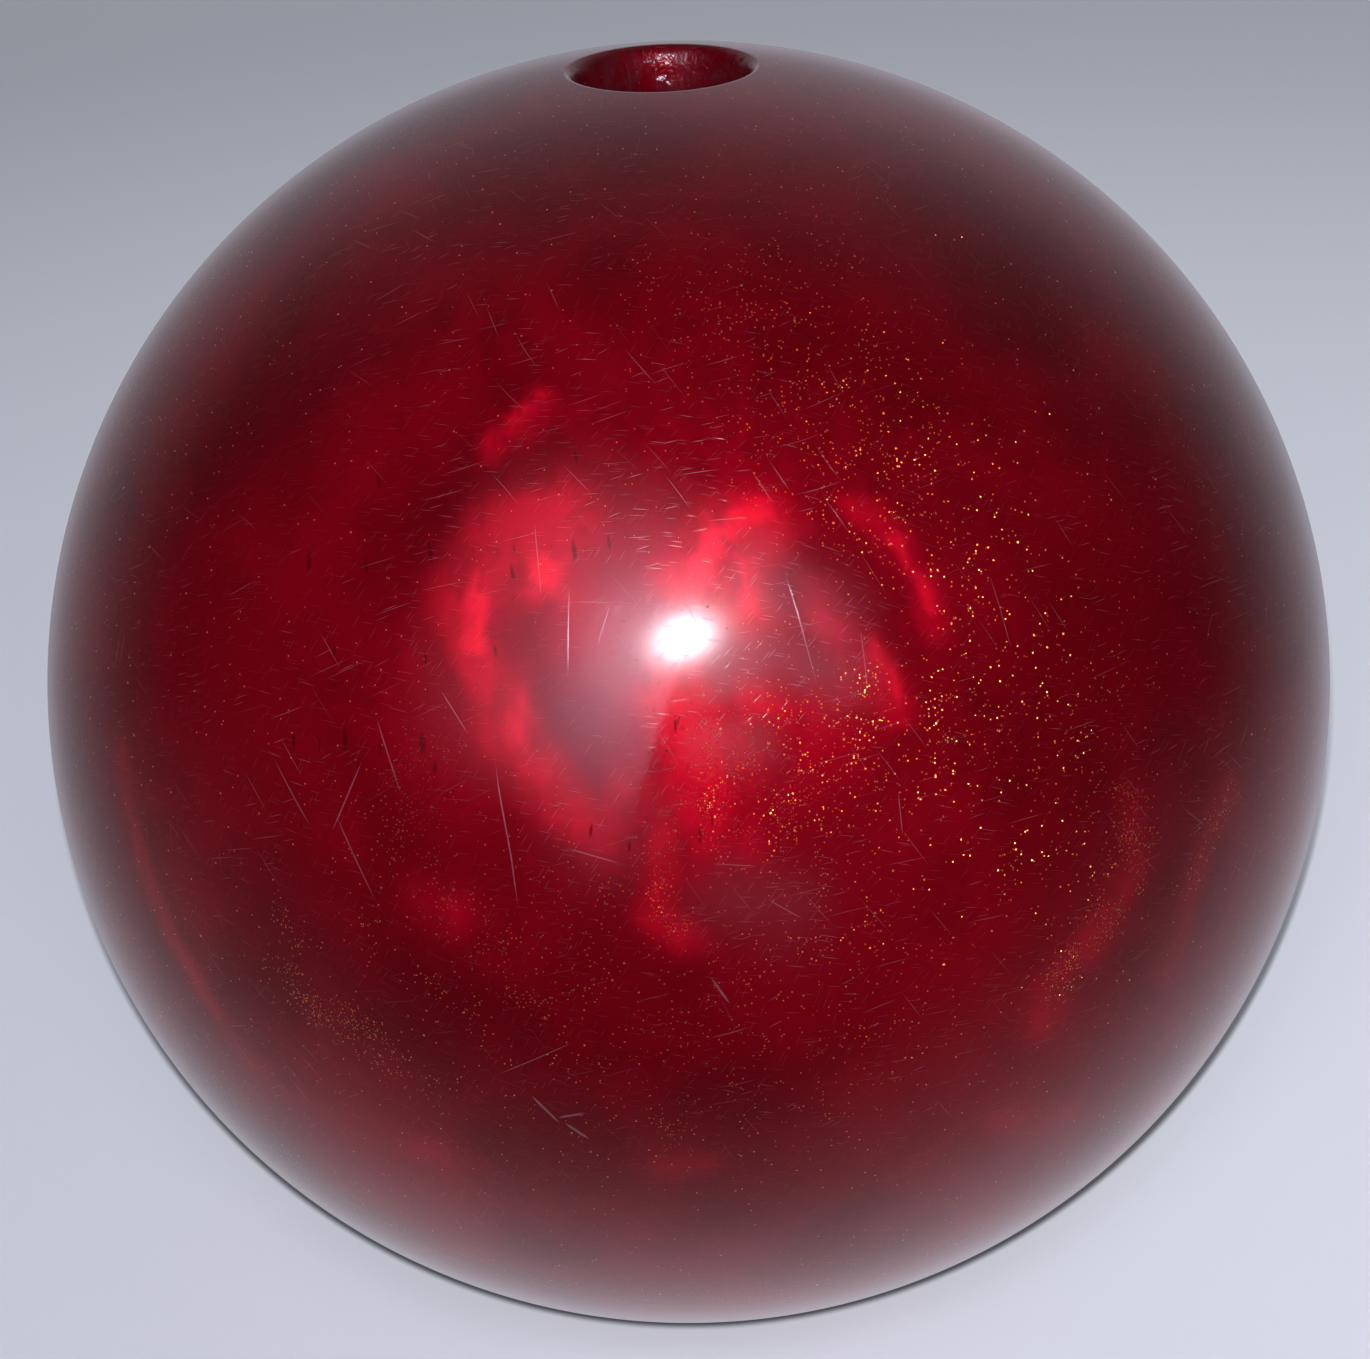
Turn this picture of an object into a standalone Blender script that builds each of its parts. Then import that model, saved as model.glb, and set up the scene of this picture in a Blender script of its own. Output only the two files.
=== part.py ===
"""A bowling ball with a fingertip drilling, as the pieces it is cast and fitted from.

Units are metres. The origin is the ball's centre, and +Z points out through the thumb hole.
The two finger holes and the locator pin open towards +Y. From the outside in, the pieces are
the coverstock, the two finger inserts, the locator pin, the outer core and the weight block.
"""

import math

import bpy
from mathutils import Vector

# Ball
BALL_RADIUS = 0.1085
COVER_THICKNESS = 0.021
GAP = 0.0003  # bond line between two neighbouring pieces

# Thumb hole, drilled along Z, with a hand-rounded edge
THUMB_RADIUS = 0.0127
THUMB_DEPTH = 0.070
THUMB_EDGE_RADIUS = 0.0023

# Grip: the span is measured over the surface, from the thumb hole's edge to the inserts' edges.
# The two finger holes are parallel, and the bridge is the wall between their inserts.
SPAN = 0.108
BRIDGE = 0.0070

# Finger holes and the moulded inserts in them
INSERT_RADIUS = 0.0123
INSERT_BORE_RADIUS = 0.0100
INSERT_LENGTH = 0.035
INSERT_LIP_RADIUS = 0.0016
INSERT_CHAMFER = 0.0002
FINGER_HOLE_RADIUS = INSERT_RADIUS + GAP
FINGER_DEPTH = 0.050

# Locator pin
PIN_RADIUS = 0.00635
PIN_POLAR = math.radians(92)  # down from the thumb hole
PIN_TURN = math.radians(10)  # from +Y towards +X

# Weight block, turned about the pin's axis
BULB_RADIUS = 0.056
BULB_OFFSET = -0.004  # along the pin's axis, from the ball's centre
BULB_FOOT_RADIUS = 0.028
NECK_RADIUS = 0.030
BLOCK_TOP = 0.048
BLOCK_EDGE = 0.004  # chamfer round the top of the neck

# How finely the round shapes are divided
BALL_STEPS = 48
RING_ANGLE = math.radians(7.5)
INNER_RING_ANGLE = math.radians(10)
BLOCK_RING_ANGLE = math.radians(12)
BLOCK_STEPS = 40
SMALL_STEPS = 32
PIN_END_RINGS = 3
FILLET_PARTS = 4
MERGE_DISTANCE = 0.00001
OVERRUN = 0.010  # how far a drill's cutter starts outside the ball
SHARP_ANGLE = math.radians(35)

COVER_INNER_RADIUS = BALL_RADIUS - COVER_THICKNESS
OUTER_CORE_RADIUS = COVER_INNER_RADIUS - GAP
THUMB_FLOOR = BALL_RADIUS - THUMB_DEPTH
FINGER_POLAR = (SPAN + THUMB_RADIUS + INSERT_RADIUS) / BALL_RADIUS
FINGER_OFFSET = BRIDGE / 2 + INSERT_RADIUS  # from the grip's middle plane, along X
FINGER_SURFACE = math.sqrt(BALL_RADIUS**2 - FINGER_OFFSET**2)  # the mouth, along the hole's axis


def clear_scene():
    for obj in list(bpy.data.objects):
        bpy.data.objects.remove(obj, do_unlink=True)


def new_collection(name):
    collection = bpy.data.collections.new(name)
    bpy.context.scene.collection.children.link(collection)
    return collection


def new_material(name, colour, roughness, metallic=0.0):
    material = bpy.data.materials.new(name)
    material.use_nodes = True
    shader = material.node_tree.nodes["Principled BSDF"]
    shader.inputs["Base Color"].default_value = (*colour, 1.0)
    shader.inputs["Roughness"].default_value = roughness
    shader.inputs["Metallic"].default_value = metallic
    return material


def direction(polar, turn):
    """The unit vector at an angle down from the thumb hole, turned from +Y towards +X."""
    return Vector(
        (
            math.sin(polar) * math.sin(turn),
            math.sin(polar) * math.cos(turn),
            math.cos(polar),
        )
    )


def arc(radius, start, end, step, centre_z=0.0):
    """Profile points (x, z) on an arc, by angle from +Z: both ends, and the whole steps between.

    A whole step within about half a step of the start is left out, so no thin ring is made.
    """
    turning = 1 if end > start else -1
    first = math.floor(turning * start / step + 0.5) + 1
    last = math.ceil(turning * end / step - 0.5)
    angles = [start, *(turning * k * step for k in range(first, last)), end]
    return [(radius * math.sin(a), centre_z + radius * math.cos(a)) for a in angles]


def turned(name, profile, steps, collection, closed=False):
    """A solid turned about its own Z from a profile that runs down its outer side."""
    count = len(profile)
    edges = [(i, i + 1) for i in range(count - 1)]
    if closed:
        edges.append((count - 1, 0))
    mesh = bpy.data.meshes.new(name)
    mesh.from_pydata([(x, 0.0, z) for x, z in profile], edges, [])
    obj = bpy.data.objects.new(name, mesh)
    collection.objects.link(obj)
    screw = obj.modifiers.new("Turn", "SCREW")
    screw.axis = "Z"
    screw.steps = steps
    screw.render_steps = steps
    screw.use_merge_vertices = True
    screw.merge_threshold = MERGE_DISTANCE
    return obj


def point_along(obj, axis, offset=0.0):
    """Turns an object's own Z along an axis that passes the ball's centre at an offset along X."""
    obj.location = (offset, 0.0, 0.0)
    obj.rotation_mode = "QUATERNION"
    obj.rotation_quaternion = axis.to_track_quat("Z", "Y")


def make_cutter(name, profile, steps, collection, axis, offset=0.0):
    cutter = turned(name, profile, steps, collection)
    point_along(cutter, axis, offset)
    cutter.hide_render = True
    cutter.display_type = "WIRE"
    return cutter


def make_drill(name, radius, floor, collection, axis, offset=0.0):
    """What a straight drill removes: a flat-ended cylinder from outside the ball down to a floor."""
    top = BALL_RADIUS + OVERRUN
    profile = [(0.0, top), (radius, top), (radius, floor), (0.0, floor)]
    return make_cutter(name, profile, SMALL_STEPS, collection, axis, offset)


def cut(obj, cutters):
    for cutter in cutters:
        boolean = obj.modifiers.new(cutter.name, "BOOLEAN")
        boolean.operation = "DIFFERENCE"
        boolean.solver = "EXACT"
        boolean.object = cutter


def coverstock_profile():
    """The shell's inside from the bottom up, the thumb hole with its round edge, the outside."""
    inner_start = math.asin(THUMB_RADIUS / COVER_INNER_RADIUS)
    inside = arc(COVER_INNER_RADIUS, math.pi, inner_start, INNER_RING_ANGLE)
    edge_x = THUMB_RADIUS + THUMB_EDGE_RADIUS
    edge_z = math.sqrt((BALL_RADIUS - THUMB_EDGE_RADIUS) ** 2 - edge_x**2)
    mouth_angle = math.atan2(edge_x, edge_z)
    edge = []
    for k in range(FILLET_PARTS):
        angle = mouth_angle - (mouth_angle + math.pi / 2) * (1 - k / FILLET_PARTS)
        x = edge_x + THUMB_EDGE_RADIUS * math.sin(angle)
        z = edge_z + THUMB_EDGE_RADIUS * math.cos(angle)
        edge.append((x, z))
    outside = arc(BALL_RADIUS, mouth_angle, math.pi, RING_ANGLE)
    return inside + edge + outside


def outer_core_profile():
    start = math.asin(THUMB_RADIUS / OUTER_CORE_RADIUS)
    hole = [(0.0, THUMB_FLOOR), (THUMB_RADIUS, THUMB_FLOOR)]
    return hole + arc(OUTER_CORE_RADIUS, start, math.pi, INNER_RING_ANGLE)


def weight_block_profile(grown=0.0):
    """A light bulb: a neck towards the pin, and a bulb with a flat foot. Its cavity is grown."""
    bulb = BULB_RADIUS + grown
    neck = NECK_RADIUS + grown
    foot = BULB_FOOT_RADIUS + grown
    top = BLOCK_TOP + grown
    start = math.asin(neck / bulb)
    end = math.pi - math.asin(foot / bulb)
    neck_end = [(0.0, top), (neck - BLOCK_EDGE, top), (neck, top - BLOCK_EDGE)]
    sides = arc(bulb, start, end, BLOCK_RING_ANGLE, BULB_OFFSET)
    foot_centre = (0.0, sides[-1][1])
    return [*neck_end, *sides, foot_centre]


def insert_profile():
    """A tube with a rounded lip inside its mouth, where Z is 0."""
    lip = INSERT_LIP_RADIUS
    centre_x = INSERT_BORE_RADIUS + lip
    lip_angles = [-math.pi / 2 * (1 - k / FILLET_PARTS) for k in range(FILLET_PARTS + 1)]
    mouth = [(centre_x + lip * math.sin(a), lip * math.cos(a) - lip) for a in lip_angles]
    return [
        (INSERT_BORE_RADIUS, -INSERT_LENGTH),
        *mouth,
        (INSERT_RADIUS - INSERT_CHAMFER, 0.0),
        (INSERT_RADIUS, -INSERT_CHAMFER),
        (INSERT_RADIUS, -INSERT_LENGTH),
    ]


def pin_profile():
    """A rod from the weight block's top to the ball's surface, where its end is part of the sphere."""
    rim = math.asin(PIN_RADIUS / BALL_RADIUS)
    end = arc(BALL_RADIUS, 0.0, rim, rim / PIN_END_RINGS)
    foot = BLOCK_TOP + GAP
    return [*end, (PIN_RADIUS, foot), (0.0, foot)]


def settle(obj):
    """Turns the modifiers' result into the object's own mesh, smooth but for its real edges."""
    graph = bpy.context.evaluated_depsgraph_get()
    mesh = bpy.data.meshes.new_from_object(obj.evaluated_get(graph))
    mesh.name = obj.name
    obj.modifiers.clear()
    obj.data = mesh
    mesh.shade_smooth()
    mesh.set_sharp_from_angle(angle=SHARP_ANGLE)


def sand_flush(insert, axis):
    """Moves an insert along its hole until each point of its mouth lies on the ball's surface."""
    for vertex in insert.data.vertices:
        place = insert.matrix_basis @ vertex.co
        across = place - axis * place.dot(axis)
        at_mouth = vertex.co.z > -INSERT_LENGTH / 2
        surface = math.sqrt(BALL_RADIUS**2 - across.length_squared)
        vertex.co.z += surface if at_mouth else FINGER_SURFACE


def make_coverstock(collection, cutters):
    obj = turned("coverstock", coverstock_profile(), BALL_STEPS, collection)
    cut(obj, cutters)
    settle(obj)
    return obj


def make_outer_core(collection, cutters):
    obj = turned("outer_core", outer_core_profile(), BALL_STEPS, collection)
    cut(obj, cutters)
    settle(obj)
    return obj


def make_weight_block(collection, pin_axis, cutters):
    obj = turned("weight_block", weight_block_profile(), BLOCK_STEPS, collection)
    point_along(obj, pin_axis)
    cut(obj, cutters)
    settle(obj)
    return obj


def make_core_pin(collection, pin_axis):
    obj = turned("core_pin", pin_profile(), SMALL_STEPS, collection)
    point_along(obj, pin_axis)
    settle(obj)
    return obj


def make_insert(name, collection, finger_axis, offset):
    obj = turned(name, insert_profile(), SMALL_STEPS, collection, closed=True)
    point_along(obj, finger_axis, offset)
    settle(obj)
    sand_flush(obj, finger_axis)
    return obj


def main():
    clear_scene()
    pieces = new_collection("bowling_ball")
    cutters = new_collection("cutters")
    cutters.hide_render = True

    thumb_axis = direction(0.0, 0.0)
    finger_axis = direction(FINGER_POLAR, 0.0)
    pin_axis = direction(PIN_POLAR, PIN_TURN)

    thumb = make_drill("thumb_drill", THUMB_RADIUS, THUMB_FLOOR, cutters, thumb_axis)
    finger_floor = FINGER_SURFACE - FINGER_DEPTH
    fingers = [
        make_drill(name, FINGER_HOLE_RADIUS, finger_floor, cutters, finger_axis, offset)
        for name, offset in (
            ("middle_finger_drill", -FINGER_OFFSET),
            ("ring_finger_drill", FINGER_OFFSET),
        )
    ]
    bore_floor = BLOCK_TOP - BLOCK_EDGE
    pin_bore = make_drill("pin_bore", PIN_RADIUS + GAP, bore_floor, cutters, pin_axis)
    cavity = make_cutter(
        "weight_block_cavity", weight_block_profile(GAP), BLOCK_STEPS, cutters, pin_axis
    )

    pearl = new_material("pearl_resin", (0.13, 0.002, 0.005), 0.12, 0.35)
    filler = new_material("core_filler", (0.46, 0.40, 0.30), 0.75)
    dense = new_material("weight_block_resin", (0.20, 0.05, 0.03), 0.55)
    pin_resin = new_material("pin_resin", (0.60, 0.30, 0.06), 0.20)
    vinyl = new_material("insert_vinyl", (0.02, 0.02, 0.022), 0.45)

    made = [
        (make_coverstock(pieces, [*fingers, pin_bore]), pearl),
        (make_outer_core(pieces, [cavity, *fingers, pin_bore]), filler),
        (make_weight_block(pieces, pin_axis, [thumb]), dense),
        (make_core_pin(pieces, pin_axis), pin_resin),
        (make_insert("middle_finger_insert", pieces, finger_axis, -FINGER_OFFSET), vinyl),
        (make_insert("ring_finger_insert", pieces, finger_axis, FINGER_OFFSET), vinyl),
    ]
    centre = bpy.data.objects.new("ball_centre", None)
    pieces.objects.link(centre)
    for obj, material in made:
        obj.data.materials.append(material)
        obj.parent = centre


main()
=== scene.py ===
"""The looks of a drilled bowling ball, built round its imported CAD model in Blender 4.5.

Metres throughout. The ball's centre is the origin, +Z points out through the thumb hole, and the
finger holes and the locator pin open towards +Y. The camera looks from the -Y side, from above.
Places on the side that the camera sees are given as degrees across (right) and up from the
point that faces it.
"""

import math
import random

import bpy
import numpy as np
from mathutils import Matrix, Vector, noise


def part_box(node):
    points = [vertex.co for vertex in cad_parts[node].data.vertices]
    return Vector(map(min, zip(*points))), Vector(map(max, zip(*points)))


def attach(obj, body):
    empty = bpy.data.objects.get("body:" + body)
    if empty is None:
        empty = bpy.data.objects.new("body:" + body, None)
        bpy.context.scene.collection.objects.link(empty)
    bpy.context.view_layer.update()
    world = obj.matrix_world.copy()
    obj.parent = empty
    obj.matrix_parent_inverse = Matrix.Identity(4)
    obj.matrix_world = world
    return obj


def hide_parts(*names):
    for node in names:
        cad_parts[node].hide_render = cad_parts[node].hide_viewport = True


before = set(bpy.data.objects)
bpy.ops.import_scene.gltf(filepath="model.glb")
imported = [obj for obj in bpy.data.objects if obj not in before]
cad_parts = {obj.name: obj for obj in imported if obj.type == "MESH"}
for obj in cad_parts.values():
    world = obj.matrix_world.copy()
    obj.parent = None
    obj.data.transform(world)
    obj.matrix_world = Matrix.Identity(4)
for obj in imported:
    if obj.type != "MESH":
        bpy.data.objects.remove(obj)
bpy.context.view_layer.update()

# The CAD's own numbers
BALL_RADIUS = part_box("coverstock")[1].x
BALL_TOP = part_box("coverstock")[1].z
COVER_INNER_RADIUS = 0.0875
THUMB_RADIUS = 0.0127
THUMB_EDGE_RADIUS = 0.0023
SPAN = 0.108
BRIDGE = 0.0070
INSERT_RADIUS = 0.0123
INSERT_BORE_RADIUS = 0.0100
INSERT_LENGTH = 0.035
INSERT_LIP_RADIUS = 0.0016
PIN_RADIUS = 0.00635
PIN_POLAR = math.radians(92)
PIN_TURN = math.radians(10)
PIN_FOOT = 0.0483
FINGER_POLAR = (SPAN + THUMB_RADIUS + INSERT_RADIUS) / BALL_RADIUS
FINGER_OFFSET = BRIDGE / 2 + INSERT_RADIUS
FINGER_SURFACE = math.sqrt(BALL_RADIUS**2 - FINGER_OFFSET**2)

# The camera, and the two directions across its picture on the ball
CAMERA_DISTANCE = 0.400
CAMERA_HEIGHT = math.radians(28.8)
CAMERA_ROLL = math.radians(2.56)
CAMERA_LENS = 59.8
CAMERA_AIM = (-0.0006, 0.00035)  # right and up, from the ball's centre
TO_CAMERA = Vector((0.0, -math.cos(CAMERA_HEIGHT), math.sin(CAMERA_HEIGHT)))
LEVEL_UP = Vector((0.0, math.sin(CAMERA_HEIGHT), math.cos(CAMERA_HEIGHT)))
ROLLED_RIGHT = Vector((1, 0, 0)) * math.cos(CAMERA_ROLL) - LEVEL_UP * math.sin(CAMERA_ROLL)
ROLLED_UP = Vector((1, 0, 0)) * math.sin(CAMERA_ROLL) + LEVEL_UP * math.cos(CAMERA_ROLL)

SEED = 7


def direction(polar, turn):
    """The unit vector at an angle down from the thumb hole, turned from +Y towards +X."""
    return Vector(
        (
            math.sin(polar) * math.sin(turn),
            math.sin(polar) * math.cos(turn),
            math.cos(polar),
        )
    )


def on_ball(across, up):
    """The unit vector through a place on the ball, from degrees across and up."""
    a, u = math.radians(across), math.radians(up)
    ahead = TO_CAMERA * (math.cos(u) * math.cos(a))
    return ahead + ROLLED_RIGHT * (math.cos(u) * math.sin(a)) + ROLLED_UP * math.sin(u)


FINGER_AXIS = direction(FINGER_POLAR, 0.0)
PIN_AXIS = direction(PIN_POLAR, PIN_TURN)

# ---------------------------------------------------------------- meshes


def link(name, mesh):
    obj = bpy.data.objects.new(name, mesh)
    bpy.context.scene.collection.objects.link(obj)
    return obj


def ring_mesh(name, rings, closed=False):
    """A mesh skinned over rings of points; a ring of one point is a pole.

    Faces look outwards when the rings run down the outside with each ring anticlockwise.
    """
    verts, starts = [], []
    for ring in rings:
        starts.append(len(verts))
        verts.extend(ring)
    faces = []
    count = len(rings)
    for i in range(count if closed else count - 1):
        j = (i + 1) % count
        a, b = starts[i], starts[j]
        n, m = len(rings[i]), len(rings[j])
        for k in range(max(n, m)):
            k2 = (k + 1) % max(n, m)
            if n == 1:
                faces.append((a, b + k, b + k2))
            elif m == 1:
                faces.append((a + k, b, a + k2))
            else:
                faces.append((a + k, b + k, b + k2, a + k2))
    mesh = bpy.data.meshes.new(name)
    mesh.from_pydata(verts, [], faces)
    mesh.validate()
    mesh.update()
    return link(name, mesh)


def across(axis):
    """Two unit vectors across an axis, so that going from the first to the second is anticlockwise."""
    first = Vector((1, 0, 0))
    first = (first - axis * first.dot(axis)).normalized()
    return first, axis.cross(first)


def circle(axis, offset, radius, height, steps, ripple=None):
    """Points of a circle about an axis that passes the centre at an offset along X.

    height is a number, or a function of the height at which the point would meet the ball.
    """
    u, v = across(axis)
    points = []
    for k in range(steps):
        t = 2 * math.pi * k / steps
        r = radius + (ripple(t) if ripple else 0.0)
        side = Vector((offset, 0, 0)) + (u * math.cos(t) + v * math.sin(t)) * r
        surface = math.sqrt(BALL_RADIUS**2 - side.length_squared)
        z = height(surface) if callable(height) else height
        points.append(side + axis * z)
    return points


def drill(name, axis, offset, radius, floor, edge, steps=96, edge_parts=6):
    """What a drill takes out of the shell, with the hole's mouth rounded over."""
    rings = [[Vector((offset, 0, 0)) + axis * (BALL_RADIUS + 0.01)]]
    rings.append(circle(axis, offset, radius + edge, BALL_RADIUS + 0.01, steps))
    for k in range(edge_parts, -1, -1):
        t = math.pi / 2 * k / edge_parts
        grown = radius + edge * (1 - math.cos(t))
        proud = 0.00001 if k == edge_parts else 0.0
        sink = edge * (1 - math.sin(t)) - proud
        rings.append(circle(axis, offset, grown, lambda s, d=sink: s - d, steps))
    rings.append(circle(axis, offset, radius, floor, steps))
    rings.append([Vector((offset, 0, 0)) + axis * floor])
    return ring_mesh(name, rings)


def turned_rings(profile, steps):
    rings = []
    for x, z in profile:
        if x == 0:
            rings.append([Vector((0, 0, z))])
        else:
            rings.append(
                [
                    Vector(
                        (
                            x * math.cos(2 * math.pi * k / steps),
                            x * math.sin(2 * math.pi * k / steps),
                            z,
                        )
                    )
                    for k in range(steps)
                ]
            )
    return rings


def arc(radius, start, end, parts):
    angles = [start + (end - start) * k / parts for k in range(parts + 1)]
    return [(radius * math.sin(a) if a != math.pi else 0, radius * math.cos(a)) for a in angles]


def shell_rings():
    """The coverstock's rings: up its inside, out through the thumb hole and down its outside."""
    edge_x = THUMB_RADIUS + THUMB_EDGE_RADIUS
    edge_z = math.sqrt((BALL_RADIUS - THUMB_EDGE_RADIUS) ** 2 - edge_x**2)
    mouth = math.atan2(edge_x, edge_z)
    outside = arc(BALL_RADIUS, mouth, math.pi, SHELL_RINGS)
    fillet = []
    for k in range(1, FILLET_RINGS + 1):
        a = mouth - (mouth + math.pi / 2) * k / FILLET_RINGS
        tall = THUMB_EDGE_RADIUS if a > 0 else FLARE_DEPTH
        z = edge_z + THUMB_EDGE_RADIUS - tall * (1 - math.cos(a))
        fillet.append((edge_x + THUMB_EDGE_RADIUS * math.sin(a), min(z, BALL_TOP)))
    wall_start = edge_z + THUMB_EDGE_RADIUS - FLARE_DEPTH
    inner_start = math.asin(THUMB_RADIUS / COVER_INNER_RADIUS)
    wall_end = COVER_INNER_RADIUS * math.cos(inner_start)
    wall = [
        (THUMB_RADIUS, wall_start + (wall_end - wall_start) * k / WALL_RINGS)
        for k in range(1, WALL_RINGS)
    ]
    inside = arc(COVER_INNER_RADIUS, inner_start, math.pi, INNER_RINGS)
    profile = outside[::-1] + fillet + wall + inside
    return turned_rings(profile[::-1], SHELL_STEPS)


SHELL_STEPS = 360
SHELL_RINGS = 168
INNER_RINGS = 36
FILLET_RINGS = 30
WALL_RINGS = 30
FLARE_DEPTH = 0.0070  # how far down the hand-sanded edge still widens the hole
WALL_ROUGHNESS = 0.00014
SEAM = 0.00010
MOUTH_EDGE = 0.0004
ON_SURFACE = 0.00003
SHARP_ANGLE = math.radians(40)


def rough_wall(mesh):
    """Moves the thumb hole's wall outwards here and there, as hand sanding leaves it."""
    for vertex in mesh.vertices:
        p = vertex.co
        side = math.hypot(p.x, p.y)
        if side > THUMB_RADIUS + THUMB_EDGE_RADIUS * 0.7 or p.z < COVER_INNER_RADIUS * 0.99:
            continue
        depth = (BALL_TOP - p.z) / FLARE_DEPTH
        amount = min(1.0, max(0.0, depth * 2.5 - 0.5)) * WALL_ROUGHNESS
        bump = noise.noise(Vector((p.x * 260, p.y * 260, p.z * 420)))
        bump += 0.5 * noise.noise(Vector((p.x * 800, p.y * 800, p.z * 1200)))
        # only ever outwards, so that the hole is never narrower than it was drilled
        out = amount * max(0.0, 0.75 + 0.6 * bump)
        vertex.co = Vector((p.x * (1 + out / side), p.y * (1 + out / side), p.z))


def cut(obj, cutters):
    for cutter in cutters:
        boolean = obj.modifiers.new(cutter.name, "BOOLEAN")
        boolean.operation = "DIFFERENCE"
        boolean.solver = "EXACT"
        boolean.object = cutter
    graph = bpy.context.evaluated_depsgraph_get()
    mesh = bpy.data.meshes.new_from_object(obj.evaluated_get(graph))
    obj.modifiers.clear()
    obj.data = mesh
    for cutter in cutters:
        bpy.data.objects.remove(cutter)


def polish(obj):
    """Puts what lies on the ball's surface exactly on it, with the ball's own normals there."""
    mesh = obj.data
    count = len(mesh.vertices)
    co = np.zeros(count * 3, np.float32)
    mesh.vertices.foreach_get("co", co)
    co = co.reshape(-1, 3).astype(float)
    length = np.linalg.norm(co, axis=1)
    surface = np.abs(length - BALL_RADIUS) < ON_SURFACE
    co[surface] *= (BALL_RADIUS / length[surface])[:, None] * (1 - 1e-7)
    co[:, 2] = np.minimum(co[:, 2], BALL_TOP)
    mesh.vertices.foreach_set("co", co.astype(np.float32).ravel())
    mesh.update()
    mesh.shade_smooth()
    mesh.set_sharp_from_angle(angle=SHARP_ANGLE)
    normals = np.array([n.vector for n in mesh.corner_normals])
    corner_vert = np.zeros(len(mesh.loops), np.int32)
    mesh.loops.foreach_get("vertex_index", corner_vert)
    for face in mesh.polygons:
        loops = range(face.loop_start, face.loop_start + face.loop_total)
        verts = corner_vert[face.loop_start : face.loop_start + face.loop_total]
        if surface[verts].all():
            for corner, v in zip(loops, verts):
                normals[corner] = co[v] / BALL_RADIUS
    mesh.normals_split_custom_set(normals.tolist())


# ---------------------------------------------------------------- the pearl's swirls

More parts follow.
